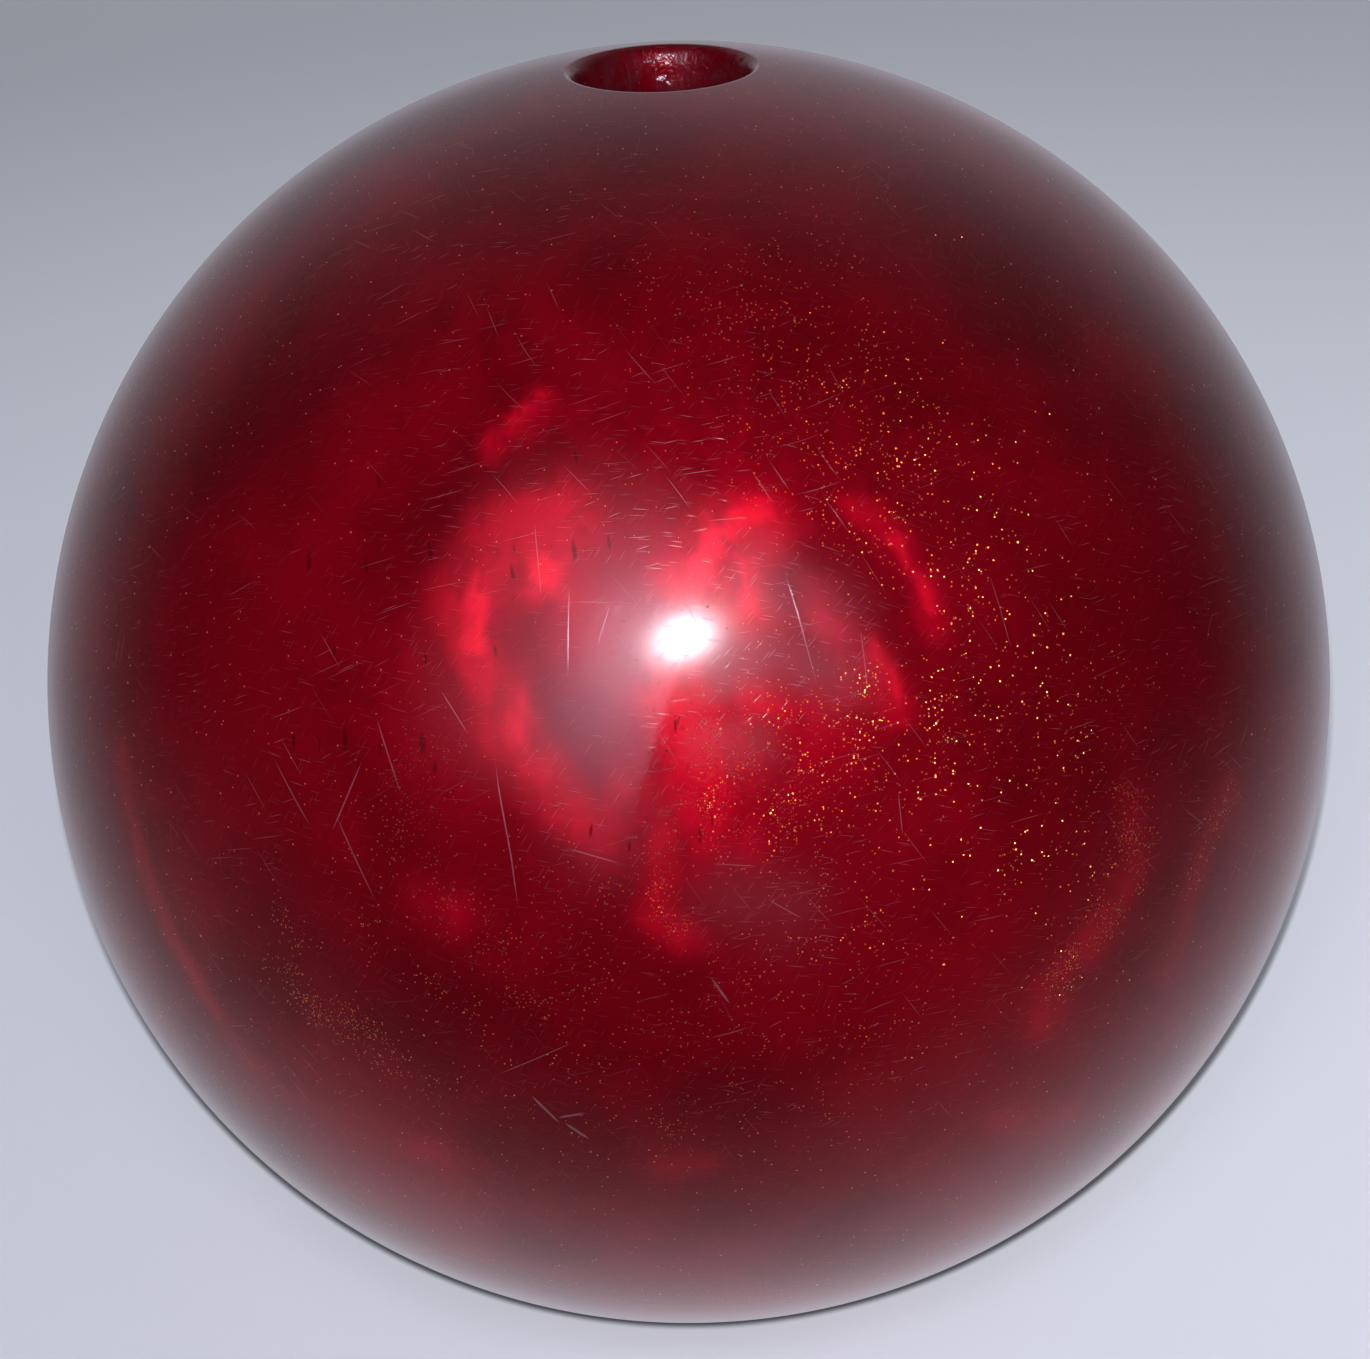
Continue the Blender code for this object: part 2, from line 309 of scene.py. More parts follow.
# Strokes on the side the camera sees: kind, half-width in degrees, strength, places (across, up)
SEEN_STROKES = [
    # the long red band left of the highlight
    ("red", 3.4, 1.0, [(-10, 11), (-13, 9), (-15, 6)]),
    ("red", 1.9, 1.1, [(-15, 6), (-15, 3), (-14, 0)]),
    ("red", 2.3, 1.0, [(-13, 0), (-13, -3), (-12, -5), (-10, -7), (-8, -9)]),
    ("red", 3.2, 0.55, [(-10, 10), (-8, 3)]),
    ("red", 2.6, 0.6, [(-10, -7), (-6, -10), (-4, -8)]),
    ("hot", 1.1, 0.9, [(-15, 7), (-15, 3)]),
    ("hot", 1.5, 0.8, [(-10, 8), (-11, 6)]),
    ("hot", 1.3, 0.7, [(-12, -1), (-12, -4)]),
    # the small patch above it
    ("red", 1.4, 1.0, [(-14, 17), (-12, 18), (-11, 20)]),
    ("hot", 0.9, 0.8, [(-13, 18), (-11, 20)]),
    ("red", 1.8, 0.3, [(-11, 19), (-7, 19), (-5, 21)]),
    # right above the highlight
    ("red", 2.2, 0.85, [(5, 12), (2, 11), (1, 9), (0, 7)]),
    ("red", 2.2, 0.9, [(6, 11), (4, 9), (3, 8), (4, 5)]),
    ("hot", 1.0, 1.0, [(5, 12), (2, 10), (1, 8)]),
    ("hot", 0.9, 0.8, [(4, 8), (4, 5)]),
    # two arcs on the right
    ("red", 1.7, 1.0, [(12, 12), (15, 9), (16, 7), (17, 4)]),
    ("hot", 0.7, 1.0, [(14, 10), (16, 7), (17, 5)]),
    ("red", 1.6, 0.9, [(9, 5), (10, 4), (12, 2), (13, 0), (14, -2)]),
    ("red", 1.4, 0.7, [(10, 4), (11, 0)]),
    ("hot", 0.7, 0.7, [(12, 3), (14, -1)]),
    # below the highlight
    ("red", 3.2, 0.9, [(-1, -1), (0, -4), (1, -7), (2, -10)]),
    ("red", 1.6, 1.0, [(4, -1), (6, -2)]),
    ("red", 5.0, 0.45, [(3, -4), (10, -3)]),
    ("red", 1.5, 0.9, [(-2, -11), (-2, -14), (-2, -16), (0, -18)]),
    ("red", 2.2, 0.75, [(-20, -15), (-18, -16)]),
    ("red", 6.0, 0.25, [(-20, 1), (-18, -4)]),
    ("red", 7.0, 0.32, [(18, 8), (19, -8), (20, -16)]),
    ("red", 6.0, 0.15, [(-28, 2), (-27, -10)]),
    ("red", 8.0, 0.30, [(0, 20), (12, 16), (25, 14)]),
    ("red", 9.0, 0.26, [(-30, 12), (-16, 26), (2, 30)]),
    # low right, far right, and the left edge
    ("red", 1.8, 0.62, [(34, -9), (35, -13), (34, -17), (32, -20), (30, -23), (31, -26)]),
    ("red", 1.6, 0.35, [(46, -8), (44, -12), (43, -17), (43, -22)]),
    ("red", 1.5, 0.45, [(-50, -6), (-49, -13), (-48, -20), (-45, -26), (-43, -31)]),
    ("red", 1.6, 0.30, [(30, -35), (38, -36)]),
    ("red", 1.4, 0.30, [(-27, -38), (-20, -39)]),
    ("red", 1.4, 0.35, [(-2, -38), (2, -38)]),
    # gold dust
    ("gold", 3.0, 0.75, [(1, -3), (3, -6), (2, -9)]),
    ("gold", 1.2, 1.0, [(1, -3), (2, -5), (4, -6)]),
    ("gold", 4.5, 0.55, [(6, -3), (10, -5), (8, -9)]),
    ("gold", 1.1, 1.0, [(6, -7), (7, -9), (7, -11)]),
    ("gold", 1.8, 0.85, [(11, 0), (12, -3), (12, -7)]),
    ("gold", 0.8, 0.9, [(18, 0), (18, -3), (18, -7)]),
    ("gold", 1.3, 0.9, [(-2, -11), (-2, -14), (-1, -17)]),
    ("gold", 0.9, 0.7, [(-6, -14), (-5, -15)]),
    ("gold", 2.4, 0.65, [(-20, -6), (-20, -9), (-20, -12)]),
    ("gold", 1.6, 1.0, [(-17, -16), (-15, -18)]),
    ("gold", 0.8, 0.8, [(-33, -17), (-32, -19)]),
    ("gold", 1.5, 1.1, [(-34, -21), (-33, -23), (-31, -25), (-28, -26), (-27, -28)]),
    ("gold", 1.4, 0.6, [(-27, -28), (-23, -31)]),
    ("gold", 0.9, 0.7, [(-25, -17), (-25, -19)]),
    ("gold", 0.8, 0.7, [(-21, -21), (-17, -24)]),
    ("gold", 0.8, 0.7, [(-14, -22), (-11, -25)]),
    ("gold", 1.7, 1.2, [(33, -8), (35, -12), (34, -16), (32, -20), (30, -23)]),
    ("gold", 1.3, 1.0, [(46, -9), (44, -12), (43, -16)]),
    ("gold", 0.8, 0.6, [(24, -12), (23, -15)]),
    ("gold", 0.9, 0.6, [(-3, -33), (-1, -35)]),
    ("gold", 7.0, 0.32, [(5, 26), (9, 20), (14, 14)]),
    ("gold", 5.0, 0.30, [(17, 10), (20, 4), (19, -4)]),
    ("gold", 6.0, 0.22, [(28, -2), (30, -10)]),
    ("gold", 5.0, 0.22, [(8, -14), (12, -18)]),
    ("gold", 9.0, 0.16, [(-8, -20), (10, -26)]),
    # the worn patches round the highlight: scuffs, and partly a painted sheen of the light they scatter
    # there
    ("scuff", 2.6, 0.9, [(4, 8), (6, 6), (9, 4)]),
    ("scuff", 2.4, 0.9, [(3, 1), (6, 2), (10, 1)]),
    ("scuff", 2.0, 0.5, [(1, -4), (4, -4)]),
    ("scuff", 4.0, 0.35, [(-7, -4), (-6, -10)]),
    ("scuff", 3.0, 0.35, [(3, -15), (7, -16)]),
    # where dark flecks show
    ("fleck", 6.0, 1.0, [(-14, 12), (-8, 10)]),
    ("fleck", 5.0, 1.0, [(-17, 2), (-15, -6)]),
    ("fleck", 5.0, 0.9, [(-8, -9), (-1, -9)]),
    ("fleck", 9.0, 0.4, [(-25, 8), (-22, -8)]),
]
HIDDEN_STROKES = 110
HAND_PLACED_REACH = math.radians(68)


def stroke_points(places):
    return np.array([on_ball(*place) for place in places])


def hidden_strokes(rng):
    """Seeded swirls for the sides that the camera doesn't see: bands that bend round the ball."""
    strokes = []
    eddies = [random_direction(rng) for _ in range(6)]
    while len(strokes) < HIDDEN_STROKES:
        place = random_direction(rng)
        if place.angle(TO_CAMERA) < HAND_PLACED_REACH:
            continue
        kind = rng.choice(["red", "red", "red", "hot", "gold", "gold"])
        wide = {"red": (1.2, 5.0), "hot": (0.6, 1.3), "gold": (0.9, 3.5)}[kind]
        strong = {"red": (0.2, 0.85), "hot": (0.3, 0.9), "gold": (0.5, 1.2)}[kind]
        eddy = min(eddies, key=place.angle)
        step = math.radians(rng.uniform(2.5, 5.0))
        bend = rng.uniform(-0.35, 0.35)
        points = [place]
        for _ in range(rng.randint(3, 7)):
            flow = eddy.cross(place)
            flow = (flow + place.cross(flow) * bend + Vector((0, 0, -0.3))).normalized()
            place = (place + flow * step).normalized()
            points.append(place)
        if all(p.angle(TO_CAMERA) > HAND_PLACED_REACH for p in points):
            strokes.append((kind, rng.uniform(*wide), rng.uniform(*strong), np.array(points)))
    return strokes


def random_direction(rng):
    z = rng.uniform(-1, 1)
    t = rng.uniform(0, 2 * math.pi)
    side = math.sqrt(1 - z * z)
    return Vector((side * math.cos(t), side * math.sin(t), z))


def stroke_field(unit, strokes):
    """The strength of a set of strokes at each unit vector: soft-edged bands along their paths."""
    total = np.zeros(len(unit))
    for _, half_width, strength, points in strokes:
        nearest = np.full(len(unit), 9.0)
        for a, b in zip(points[:-1], points[1:]):
            run = b - a
            t = np.clip(((unit - a) @ run) / (run @ run), 0, 1)
            nearest = np.minimum(nearest, np.linalg.norm(unit - a - t[:, None] * run, axis=1))
        share = np.degrees(nearest) / half_width
        total = np.maximum(total, strength * np.exp(-(share**2)))
    return total


def paint(obj):
    """Writes the swirls to the shell's vertices as the attributes that its material reads."""
    mesh = obj.data
    co = np.zeros(len(mesh.vertices) * 3, np.float32)
    mesh.vertices.foreach_get("co", co)
    co = co.reshape(-1, 3).astype(float)
    unit = co / np.linalg.norm(co, axis=1)[:, None]
    # a little warp, so that the bands' edges wander
    wide = np.array([noise.noise_vector(Vector(u) * 9.0) for u in unit])
    fine = np.array([noise.noise_vector(Vector(u) * 26.0) for u in unit])
    unit = unit + wide * 0.014 + fine * 0.008
    strokes = [(k, w, s, stroke_points(p)) for k, w, s, p in SEEN_STROKES]
    strokes += hidden_strokes(random.Random(SEED))
    for kind in ("red", "hot", "gold", "scuff", "fleck"):
        values = stroke_field(unit, [s for s in strokes if s[0] == kind])
        attribute = mesh.attributes.new(f"pearl_{kind}", "FLOAT", "POINT")
        attribute.data.foreach_set("value", values.astype(np.float32))


# ---------------------------------------------------------------- materials


class Nodes:
    """A material's node tree, with one short call for each kind of node."""

    def __init__(self, name):
        self.material = bpy.data.materials.new(name)
        self.material.use_nodes = True
        self.tree = self.material.node_tree
        self.shader = self.tree.nodes["Principled BSDF"]
        self.place = self.add("ShaderNodeTexCoord").outputs["Object"]

    def add(self, kind, **settings):
        node = self.tree.nodes.new(kind)
        for key, value in settings.items():
            setattr(node, key, value)
        return node

    def put(self, socket, value):
        if isinstance(value, bpy.types.NodeSocket):
            self.tree.links.new(value, socket)
        elif value is not None:
            socket.default_value = value

    def math(self, operation, a, b=None, c=None, clamp=False):
        node = self.add("ShaderNodeMath", operation=operation, use_clamp=clamp)
        for socket, value in zip(node.inputs, (a, b, c)):
            self.put(socket, value)
        return node.outputs[0]

    def vector(self, operation, a, b=None, scale=None):
        node = self.add("ShaderNodeVectorMath", operation=operation)
        self.put(node.inputs[0], a)
        self.put(node.inputs[1], b)
        if scale is not None:
            self.put(node.inputs["Scale"], scale)
        return node.outputs["Value" if operation in ("DOT_PRODUCT", "LENGTH") else "Vector"]

    def span(self, value, low, high, to_low=0.0, to_high=1.0):
        """A smooth step from to_low to to_high as the value goes from low to high."""
        node = self.add("ShaderNodeMapRange", interpolation_type="SMOOTHSTEP")
        for key, v in (
            ("Value", value),
            ("From Min", low),
            ("From Max", high),
            ("To Min", to_low),
            ("To Max", to_high),
        ):
            self.put(node.inputs[key], v)
        return node.outputs["Result"]

    def mix(self, share, a, b, kind="RGBA"):
        node = self.add("ShaderNodeMix", data_type=kind)
        first = {"RGBA": 6, "FLOAT": 2, "VECTOR": 4}[kind]
        self.put(node.inputs[0], share)
        self.put(node.inputs[first], (*a, 1.0) if isinstance(a, tuple) and kind == "RGBA" else a)
        self.put(
            node.inputs[first + 1], (*b, 1.0) if isinstance(b, tuple) and kind == "RGBA" else b
        )
        return node.outputs[{"RGBA": 2, "FLOAT": 0, "VECTOR": 1}[kind]]

    def noise(self, scale, detail=2.0, rough=0.5, place=None):
        node = self.add("ShaderNodeTexNoise")
        self.put(node.inputs["Vector"], place or self.place)
        self.put(node.inputs["Scale"], scale)
        self.put(node.inputs["Detail"], detail)
        self.put(node.inputs["Roughness"], rough)
        return node

    def cells(self, scale, place=None, flat=False):
        node = self.add("ShaderNodeTexVoronoi", voronoi_dimensions="2D" if flat else "3D")
        self.put(node.inputs["Vector"], place or self.place)
        self.put(node.inputs["Scale"], scale)
        return node

    def mapped(self, turn, scale, move=(0, 0, 0), place=None):
        node = self.add("ShaderNodeMapping", vector_type="POINT")
        self.put(node.inputs["Vector"], place or self.place)
        node.inputs["Rotation"].default_value = turn
        node.inputs["Scale"].default_value = scale
        node.inputs["Location"].default_value = move
        return node.outputs["Vector"]

    def join(self, x, y, z=0.0):
        node = self.add("ShaderNodeCombineXYZ")
        for socket, value in zip(node.inputs, (x, y, z)):
            self.put(socket, value)
        return node.outputs[0]

    def split(self, colour):
        node = self.add("ShaderNodeSeparateColor")
        self.put(node.inputs[0], colour)
        return node.outputs

    def attribute(self, name):
        return self.add("ShaderNodeAttribute", attribute_name=name).outputs["Fac"]

    def bump(self, height, distance, normal=None, strength=1.0):
        node = self.add("ShaderNodeBump")
        self.put(node.inputs["Height"], height)
        self.put(node.inputs["Distance"], distance)
        self.put(node.inputs["Strength"], strength)
        self.put(node.inputs["Normal"], normal)
        return node.outputs["Normal"]

    def set(self, **values):
        for key, value in values.items():
            self.put(self.shader.inputs[key.replace("_", " ")], value)


# Pearl resin: linear colours
DEEP = (0.152, 0.0007, 0.0050)
MAROON = (0.295, 0.0013, 0.0095)
RED = (0.62, 0.0028, 0.0190)
HOT = (0.95, 0.0070, 0.0320)
FLAKE_ORANGE = (1.0, 0.13, 0.015)
FLAKE_GOLD = (1.0, 0.50, 0.14)
SCRATCH_PALE = (0.62, 0.36, 0.40)
# scuffs' pale colour, partly a painted sheen near the highlight
SCUFF_AND_SHEEN_PALE = (0.40, 0.20, 0.24)
FLECK_DARK = (0.11, 0.0008, 0.0050)
# sanded wall colour, partly a painted reflection of the pale surround
SANDED_AND_REFLECTION_PALE = (0.16, 0.055, 0.070)

# Scratch layers: length and width of a cell, how much of it the scratch takes, and the share kept
LONG_SCRATCHES = (0.060, 0.00110, 0.060, 0.45)
SHORT_SCRATCHES = (0.018, 0.00070, 0.080, 0.38)
HAIRLINES = (0.011, 0.00048, 0.110, 0.85)
SCRATCH_DEPTH = 0.000009

# Single scratches that stand out: half-width in mm, from, to (degrees across, up)
MARKS = [
    (0.10, (-8, 7), (-8, 1)),
    (0.09, (-5, 6), (-6, 3)),
    (0.07, (-8, 6), (-3, 6)),
    (0.12, (-22, -2), (-20.5, -7)),
    (0.13, (-13, -5), (-12, -15)),
    (0.12, (-8, -11), (-4.5, -12)),
    (0.11, (6, -14.5), (8.5, -16)),
    (0.10, (-17, 0), (-15, -3)),
    (0.13, (-26.5, -10), (-23.5, -5)),
    (0.12, (-26, -9), (-23.5, -15)),
    (0.09, (2, -12), (5, -12)),
    (0.09, (-10.5, 11.5), (-10, 6.5)),
    (0.10, (7, 8), (9, 0.5)),
    (0.10, (12, 4), (12.5, 0)),
    (0.11, (-31, -5), (-28.5, -9.5)),
    (0.09, (-15.5, -29), (-9, -26)),
    (0.10, (15, -7), (15.5, -10)),
    (0.09, (22, 8), (23.5, 3)),
    (0.28, (-13, -31), (-11, -33.5)),
    (0.24, (-11, -33), (-8.5, -32.5)),
    (0.30, (-10.5, -33.5), (-8.5, -35)),
    (0.22, (3.5, -22.5), (2, -20.5)),
]


def flakes(n, size, keep, reach):
    """Mica flakes of one size: (mask, hue from 0 to 1, the cell's random colour)."""
    cell = n.cells(1 / size)
    parts = n.split(cell.outputs["Color"])
    chosen = n.math("LESS_THAN", parts[0], keep)
    near = n.math("LESS_THAN", cell.outputs["Distance"], reach)
    return n.math("MULTIPLY", chosen, near), parts[1], cell.outputs["Color"]


def unrolled(n, pole):
    """The surface round a pole laid flat (round it, along it), and how far from its ends that holds."""
    first = pole.orthogonal().normalized()
    axes = (first, pole.cross(first), pole)
    x, y, z = (n.vector("DOT_PRODUCT", n.place, tuple(axis)) for axis in axes)
    turn = n.math("MULTIPLY", n.math("ARCTAN2", y, x), BALL_RADIUS)
    band = n.span(n.math("ABSOLUTE", z), BALL_RADIUS * 0.85, BALL_RADIUS * 0.65)
    bend = n.vector("SCALE", n.noise(24, 1.0).outputs["Color"], scale=0.011)
    return n.vector("ADD", n.join(turn, z), bend), band


def scratch_layer(n, rng, flat, long, wide, reach, keep):
    """Fine scratches that all lean one way: stretched cells, each with one scratch of its own depth."""
    lean = n.mapped((0, 0, rng.uniform(0, math.pi)), (1, 1, 1), (0, 0, 0), flat)
    move = (rng.uniform(-50, 50), rng.uniform(-50, 50), 0)
    cell = n.cells(1.0, n.mapped((0, 0, 0), (1 / wide, 1 / long, 1), move, lean), flat=True)
    parts = n.split(cell.outputs["Color"])
    line = n.span(cell.outputs["Distance"], reach, reach * 0.3)
    depth = n.span(parts[0], keep, keep * 0.3)
    return n.math("MULTIPLY", line, depth)


def mark(n, unit, half_width, start, end):
    """One scratch along the great circle from start to end."""
    a, b = on_ball(*start), on_ball(*end)
    run = b - a
    off = n.math("ABSOLUTE", n.vector("DOT_PRODUCT", unit, tuple(a.cross(b).normalized())))
    along = n.vector("DOT_PRODUCT", unit, tuple(run / run.length_squared))
    middle = (a + b).dot(run) / run.length_squared / 2
    far = n.math("ABSOLUTE", n.math("SUBTRACT", along, middle))
    wide = half_width / 1000 / BALL_RADIUS
    narrowing = n.span(far, 0.55, 0.25, wide / 1000, wide)
    facing = n.math("GREATER_THAN", n.vector("DOT_PRODUCT", unit, tuple(a)), 0.5)
    return n.math("MULTIPLY", n.span(off, narrowing, n.math("MULTIPLY", narrowing, 0.3)), facing)


def highest(n, values):
    top = values[0]
    for other in values[1:]:
        top = n.math("MAXIMUM", top, other)
    return top


def make_pearl():
    n = Nodes("pearl_resin")
    rng = random.Random(SEED)
    fine = n.noise(240, 3.0).outputs["Fac"]
    wander = n.vector("SCALE", n.noise(55, 2.0).outputs["Color"], scale=0.012)
    bent = n.vector("ADD", n.place, wander)
    cloud = n.noise(26, 3.0, 0.55, bent).outputs["Fac"]
    wisp = n.noise(95, 3.0, 0.6, n.mapped((0.2, 0.3, 0.1), (1.0, 1.0, 0.45), (0, 0, 0), bent))
    wisp = wisp.outputs["Fac"]

    red = n.attribute("pearl_red")
    hot = n.attribute("pearl_hot")
    gold = n.attribute("pearl_gold")
    scuff = n.attribute("pearl_scuff")
    vein = n.span(wisp, 0.36, 0.60)
    red_share = n.span(n.math("MULTIPLY", red, n.math("MULTIPLY_ADD", vein, 0.55, 0.50)), -0.12, 0.95)
    hot_share = n.span(n.math("MULTIPLY", hot, n.math("MULTIPLY_ADD", vein, 0.40, 0.65)), 0.15, 0.85)

    base = n.mix(n.span(cloud, 0.32, 0.68), DEEP, MAROON)
    base = n.mix(red_share, base, RED)
    base = n.mix(hot_share, base, HOT)

    dust = n.math("MULTIPLY", gold, n.span(fine, 0.30, 0.62))
    small_keep = n.math("MULTIPLY_ADD", dust, 0.50, 0.007)
    large_keep = n.math("MULTIPLY_ADD", dust, 0.09, 0.006)
    small, small_hue, small_turn = flakes(n, 0.00030, small_keep, 0.36)
    large, large_hue, large_turn = flakes(n, 0.00085, large_keep, 0.19)
    base = n.mix(small, base, n.mix(small_hue, FLAKE_ORANGE, FLAKE_GOLD))
    base = n.mix(large, base, n.mix(large_hue, FLAKE_ORANGE, FLAKE_GOLD))
    flake = n.math("MAXIMUM", small, large)

    normal = n.add("ShaderNodeNewGeometry").outputs["Normal"]
    turn = n.mix(large, small_turn, large_turn)
    tilt = n.vector("SCALE", n.vector("SUBTRACT", turn, (0.5, 0.5, 0.5)),
                    scale=n.math("MULTIPLY", flake, 1.1))
    facing = n.vector("NORMALIZE", n.vector("ADD", normal, tilt))

    long, short, hair = [], [], []
    for pole in (Vector((1, 0, 0)), LEVEL_UP, TO_CAMERA):
        flat, band = unrolled(n, pole)
        for found, layer in ((long, LONG_SCRATCHES), (short, SHORT_SCRATCHES), (hair, HAIRLINES)):
            line = scratch_layer(n, rng, flat, *layer)
            found.append(n.math("MULTIPLY", line, band))
    flat, _ = unrolled(n, Vector((1, 0, 0)))
    spot = n.cells(1.0, n.mapped((0, 0, 0), (1 / 0.0125, 1 / 0.0028, 1), (3, 7, 0), flat), flat=True)
    spot_parts = n.split(spot.outputs["Color"])
    spot_seen = n.math("LESS_THAN", spot_parts[0], n.math("MULTIPLY", n.attribute("pearl_fleck"), 0.42))
    spot_size = n.math("MULTIPLY_ADD", spot_parts[1], 0.11, 0.06)
    fleck = n.span(spot.outputs["Distance"], spot_size, n.math("MULTIPLY", spot_size, 0.35))
    fleck = n.math("MULTIPLY", fleck, spot_seen)
    wobble = n.vector("SCALE", n.noise(40, 1.0).outputs["Color"], scale=0.0016)
    unit = n.vector("NORMALIZE", n.vector("ADD", n.place, wobble))
    marks = highest(n, [mark(n, unit, *each) for each in MARKS])
    hairs = highest(n, hair)
    crowd = n.span(n.noise(20, 2.0).outputs["Fac"], 0.40, 0.62, 0.25, 1.0)
    lines = n.math("MAXIMUM", n.math("MULTIPLY", highest(n, long + short), crowd), marks)
    scratch = n.math("MAXIMUM", lines, n.math("MULTIPLY", hairs, 0.6))

    # scuffed wear, and partly a painted sheen of light scattered near the highlight
    rubbed_and_sheen = n.math("MULTIPLY", scuff, n.math("MULTIPLY_ADD", hairs, 0.80, 0.26), clamp=True)
    base = n.mix(rubbed_and_sheen, base, SCUFF_AND_SHEEN_PALE)
    base = n.mix(n.math("MULTIPLY", fleck, 0.65), base, FLECK_DARK)
    base = n.mix(n.math("MULTIPLY", lines, 0.30), base, SCRATCH_PALE)
    base = n.mix(n.math("MULTIPLY", hairs, 0.10), base, SCRATCH_PALE)

    # the sanded wall of the thumb hole is crinkled; its paleness is partly sanding and partly a painted
    # reflection of the pale surround
    where = n.add("ShaderNodeSeparateXYZ")
    n.put(where.inputs[0], n.place)
    side = n.vector("LENGTH", n.join(where.outputs[0], where.outputs[1]))
    wall = n.math("MULTIPLY", n.span(side, THUMB_RADIUS + 0.0019, THUMB_RADIUS + 0.0009),
                  n.math("GREATER_THAN", where.outputs[2], 0.0))
    crinkle = n.noise(420, 3.0, 0.6, n.mapped((0, 0, 0), (1.0, 1.0, 0.8))).outputs["Fac"]
    polished = n.bump(n.math("MULTIPLY", scratch, -1.0), SCRATCH_DEPTH)
    coat = n.bump(n.math("MULTIPLY", crinkle, wall), 0.00055, polished)
    # paleness of the hole's wall: partly sanded surface, partly a painted reflection
    dull_and_reflection = n.math("MULTIPLY", wall, n.span(crinkle, 0.35, 0.65, 0.0, 0.30))
    base = n.mix(dull_and_reflection, base, SANDED_AND_REFLECTION_PALE)

    n.set(Base_Color=base, Roughness=n.mix(flake, 0.56, 0.34, "FLOAT"),
          Metallic=n.mix(flake, 0.62, 1.0, "FLOAT"), Normal=facing,
          Coat_Weight=1.0, Coat_Roughness=0.08, Coat_IOR=1.45, Specular_IOR_Level=0.0,
          Coat_Normal=coat)
    return n.material


def make_vinyl():
    n = Nodes("insert_vinyl")
    grain = n.noise(2600, 2.0).outputs["Fac"]
    wear = n.noise(140, 3.0).outputs["Fac"]
    base = n.mix(n.span(wear, 0.35, 0.7), (0.020, 0.020, 0.022), (0.044, 0.043, 0.045))
    n.set(Base_Color=base, Roughness=n.span(wear, 0.3, 0.7, 0.38, 0.55),
          Normal=n.bump(grain, 0.00006))
    return n.material


def make_pin():
    n = Nodes("pin_resin")
    cloud = n.noise(420, 3.0).outputs["Fac"]
    base = n.mix(n.span(cloud, 0.35, 0.65), (0.50, 0.20, 0.03), (0.78, 0.42, 0.10))
    n.set(Base_Color=base, Roughness=0.35, Coat_Weight=1.0, Coat_Roughness=0.08)
    return n.material


def make_filler():
    n = Nodes("core_filler")
    grain = n.noise(1500, 4.0, 0.6).outputs["Fac"]
    cloud = n.noise(60, 3.0).outputs["Fac"]
    base = n.mix(n.span(cloud, 0.3, 0.7), (0.40, 0.34, 0.25), (0.52, 0.46, 0.36))
    base = n.mix(n.span(grain, 0.60, 0.72, 0.0, 0.5), base, (0.22, 0.18, 0.13))
    n.set(Base_Color=base, Roughness=0.8, Normal=n.bump(grain, 0.0002))
    return n.material


def make_dense():
    n = Nodes("weight_block_resin")
    grain = n.noise(1100, 4.0, 0.6).outputs["Fac"]
    cloud = n.noise(50, 3.0).outputs["Fac"]
    base = n.mix(n.span(cloud, 0.3, 0.7), (0.16, 0.035, 0.022), (0.25, 0.07, 0.045))
    base = n.mix(n.span(grain, 0.60, 0.74, 0.0, 0.4), base, (0.40, 0.22, 0.16))
    n.set(Base_Color=base, Roughness=0.6, Normal=n.bump(grain, 0.00015))
    return n.material


# A painted shadow in the floor's colour and glow: the thin line that a flash beside the lens would throw
# just past the ball's edge
FLASH_PLACE = (-0.25, 1.0)
FLASH_BLUR = 0.0006
FLASH_SHADE = 0.88
FLASH_REACH = 0.34


def make_floor_material():
    """A pale, faintly blue floor whose glow is a painted light, brighter near the ball and to its right,
    with a painted flash shadow.
    """
    n = Nodes("studio_floor")
    soft = n.noise(6, 2.0).outputs["Fac"]
    base = n.mix(soft, (0.44, 0.465, 0.515), (0.47, 0.495, 0.55))
    flash = on_ball(*FLASH_PLACE) * CAMERA_DISTANCE
    ray = n.vector("NORMALIZE", n.vector("SUBTRACT", n.place, tuple(flash)))
    miss = n.vector("LENGTH", n.vector("CROSS_PRODUCT", ray, tuple(flash)))
    away = n.vector("LENGTH", n.place)
    # painted flash shadow: the floor's colour and glow are darkened where the ball would block the flash
    shade = n.span(miss, BALL_RADIUS + FLASH_BLUR, BALL_RADIUS - FLASH_BLUR, 0.0, FLASH_SHADE)
    shade = n.math("MULTIPLY", shade, n.span(away, FLASH_REACH, BALL_RADIUS))
    lit = n.math("SUBTRACT", 1.0, shade)
    base = n.mix(lit, (0.0, 0.0, 0.0), base)
    rightwards = n.vector("DOT_PRODUCT", n.vector("NORMALIZE", n.place), (1.0, 0.0, 0.0))
    # painted light: the floor's glow is stronger near the ball and to its right
    painted_light_pool = n.math("MULTIPLY", n.span(away, 0.12, 1.1, 0.48, 0.26),
                  n.math("MULTIPLY_ADD", rightwards, 0.17, 1.0))
    painted_light_pool = n.math("MULTIPLY", painted_light_pool, lit)
    n.set(Base_Color=base, Roughness=0.8, Emission_Color=(0.95, 1.0, 1.11, 1.0),
          Emission_Strength=painted_light_pool)
    return n.material


# ---------------------------------------------------------------- pieces


def make_shell():
    shell = ring_mesh("coverstock_shell", shell_rings())
    rough_wall(shell.data)
    floor = COVER_INNER_RADIUS - 0.010
    cutters = [
        drill(f"drill_{side}", FINGER_AXIS, side * FINGER_OFFSET, INSERT_RADIUS + SEAM, floor,
              MOUTH_EDGE)
        for side in (-1, 1)
    ]
    cutters.append(drill("drill_pin", PIN_AXIS, 0.0, PIN_RADIUS + SEAM, floor, SEAM))
    cut(shell, cutters)
    polish(shell)
    paint(shell)
    return shell


INSERT_GROOVES = 36
GROOVE_DEPTH = 0.00014


